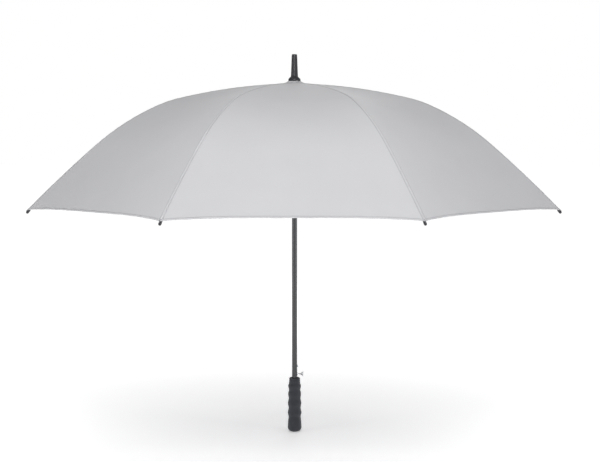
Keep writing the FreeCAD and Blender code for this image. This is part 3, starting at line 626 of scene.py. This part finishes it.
def grip_line():
    """The grip's outline: cosine waves between crests and hollows, a round butt, a bore round its core."""
    down = np.linspace(0, GRIP_WAVES[-1, 0], 150)
    after = np.clip(np.searchsorted(GRIP_WAVES[:, 0], down, side="right"), 1, len(GRIP_WAVES) - 1)
    (low, r_low), (high, r_high) = GRIP_WAVES[after - 1].T, GRIP_WAVES[after].T
    ease = (1 - np.cos(math.pi * (down - low) / (high - low))) / 2
    side = np.stack([(r_low + (r_high - r_low) * ease) * MM, GRIP_TOP * (1 - down)], -1)
    turn = np.linspace(0, math.pi / 2, 14)[1:]
    round_off = side[-1, 1]
    butt = np.stack([side[-1, 0] - round_off * (1 - np.cos(turn)), round_off * (1 - np.sin(turn))], -1)
    core = 10.02 * MM
    bore = [(core, GRIP_TOP - 1 * MM), (core + 0.6 * MM, GRIP_TOP)]
    return np.vstack([[(0, GRIP_TOP - 1 * MM)], bore, side, butt, [(0, 0)]])[::-1]


grip = turned("handle_grip_foam", grip_line(), FINISHES["grip_foam"], 128)
settle(grip, "shaft", "grip_foam", "handle_grip")

button_height = (BUTTON_LOW.z + BUTTON_HIGH.z) / 2
button_reach, button_head, button_stem = BUTTON_HIGH.x, BUTTON_HIGH.y, 1.5 * MM
flare = np.linspace(0, 1, 24)
button_line = np.vstack([
    [(0, BUTTON_LOW.x), (button_stem, BUTTON_LOW.x)],
    np.stack([button_stem + (button_head - button_stem) * (0.25 * flare ** 1.5 + 0.75 * flare ** 5),
              button_reach - (12 - 10.3 * flare) * MM], -1),
    rounded([(button_head, button_reach - 1.6 * MM), (button_head, button_reach - 0.9 * MM),
             (button_head - 1 * MM, button_reach - 0.1 * MM), (button_head * 0.5, button_reach)], 0.5 * MM),
    [(0, button_reach)],
])
settle(turned("button_trumpet", button_line, FINISHES["chrome"], 72, (0, 0, button_height), (1, 0, 0)),
       "push_button", "chrome", "push_button")

TIP_STATION = RIB_STATIONS[-1]
tip_slope = RIB_SLOPES[-1]
TIP_RADIUS, TIP_HALF = 3.2 * MM, 4 * MM
ball = np.linspace(0, math.pi / 2, 12)
tip_line = np.vstack([
    rounded([(0, -TIP_HALF), (2.5 * MM, -TIP_HALF), (2.8 * MM, -TIP_HALF + 0.4 * MM), (2.8 * MM, 0),
             (TIP_RADIUS, 1.5 * MM), (TIP_RADIUS, TIP_HALF)], 0.5 * MM),
    np.stack([TIP_RADIUS * np.cos(ball), TIP_HALF + TIP_RADIUS * np.sin(ball)], -1)[1:-1],
    [(0, TIP_HALF + TIP_RADIUS)],
])
tip_reach = ROOT_REACH + np.interp(TIP_STATION, fine, summed(np.cos(slope)))
tip_height = ROOT_HEIGHT - np.interp(TIP_STATION, fine, summed(np.sin(slope)))
SEWING_TURNS = 3
for rib in RIBS:
    outwards, across, upwards = rib_plane(rib)
    ahead = math.cos(tip_slope) * outwards - math.sin(tip_slope) * upwards
    above = math.sin(tip_slope) * outwards + math.cos(tip_slope) * upwards
    middle = tip_reach * outwards + tip_height * upwards
    tip = turned(f"tip_cap_{rib}", tip_line, FINISHES["black_plastic"], 40, middle, ahead)
    settle(tip, f"rib_outer_{rib}", "black_plastic", f"rib_tip_{rib}")
    # the thread runs along the tip to its far end, round and back, a little aside each turn
    turn = np.linspace(0, 2 * math.pi * SEWING_TURNS, 40 * SEWING_TURNS, endpoint=False)[:, None]
    loops = middle + ahead * (-0.5 * MM + 4.5 * MM * np.cos(turn))
    loops = loops + above * (3.7 * MM + 0.6 * MM * np.sin(turn))
    loops = loops + across * 0.7 * MM * np.sin(turn / SEWING_TURNS)
    thread = looped_thread(f"tip_sewing_{rib}", loops, 0.28 * MM, across, thread_finish)
    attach(thread, f"rib_outer_{rib}")

# ---- The floor, the lights and the camera

FLOOR_REACH = 60


def painted_glow_acrylic():
    """White floor that glows by itself, with no lamp in it: painted light, more the further it is from the middle,
    so it fades into the white background and glows least where the umbrella stands.
    """
    material, shader = finish("painted_glow_floor", Roughness=0.9, Specular_IOR_Level=0.0,
                              Emission_Color=(1, 1, 1, 1))
    shader.inputs["Base Color"].default_value = colour("#F4F4F4")
    place = add(material, "TexCoord").outputs["Object"]
    from_middle = add(material, "VectorMath", {0: place}, operation="LENGTH").outputs["Value"]
    glow = add(material, "MapRange", {"Value": from_middle, "From Min": 0.15, "From Max": 1.6,
                                      "To Min": 0.28, "To Max": 0.86}).outputs["Result"]
    # painted light: the floor's own glow, least at the middle and most far out
    join(material, glow, shader.inputs["Emission Strength"])
    return material


floor_line = [(0, -0.01), (FLOOR_REACH, -0.01), (FLOOR_REACH, 0), (8, 0), (2, 0), (0.5, 0), (0, 0)]
floor = turned("floor", floor_line, painted_glow_acrylic())

world = bpy.data.worlds.new("studio")
bpy.context.scene.world = world
world.use_nodes = True
sky = world.node_tree.nodes["Background"]
sky.inputs["Color"].default_value = (1, 1, 1, 1)
seen = world.node_tree.nodes.new("ShaderNodeLightPath").outputs["Is Camera Ray"]
level = world.node_tree.nodes.new("ShaderNodeMapRange")
level.inputs["To Min"].default_value = 0.22
level.inputs["To Max"].default_value = 1.0
world.node_tree.links.new(seen, level.inputs["Value"])
world.node_tree.links.new(level.outputs["Result"], sky.inputs["Strength"])
bpy.context.scene.view_settings.view_transform = "Standard"


def soft_box(name, place, aim, width, height, watts):
    """A rectangular area light at a place, turned towards a point."""
    light = bpy.data.lights.new(name, "AREA")
    light.shape = "RECTANGLE"
    light.size, light.size_y, light.energy = width, height, watts
    box = bpy.data.objects.new(name, light)
    box.location = place
    box.rotation_mode = "QUATERNION"
    box.rotation_quaternion = (Vector(aim) - Vector(place)).to_track_quat("-Z", "Y")
    bpy.context.scene.collection.objects.link(box)


crown = (0, 0, ROOT_HEIGHT)
soft_box("key_box", (0, -1.5, 1.5), (0, -0.35, 0.8), 0.5, 0.5, 13)
soft_box("top_box", (0, 0.2, 3.4), crown, 2.4, 2.4, 6)
soft_box("back_box", (0.3, 2.0, 1.9), (0, 0.2, 0.8), 1.2, 1.2, 16)
soft_box("left_strip", (-2.2, -0.9, 0.7), (0, 0, 0.6), 0.5, 1.5, 8)
soft_box("right_strip", (2.2, -0.9, 0.7), (0, 0, 0.6), 0.5, 1.5, 9)

# the camera stands in front of the umbrella and looks slightly down
camera_data = bpy.data.cameras.new("camera")
camera_data.sensor_width = 36
camera_data.lens = 55.2
camera = bpy.data.objects.new("camera", camera_data)
camera.location = (0.0143, -2.392, 0.731)
camera.rotation_euler = (math.radians(90 - 4.75), 0, 0)
bpy.context.scene.collection.objects.link(camera)
bpy.context.scene.camera = camera
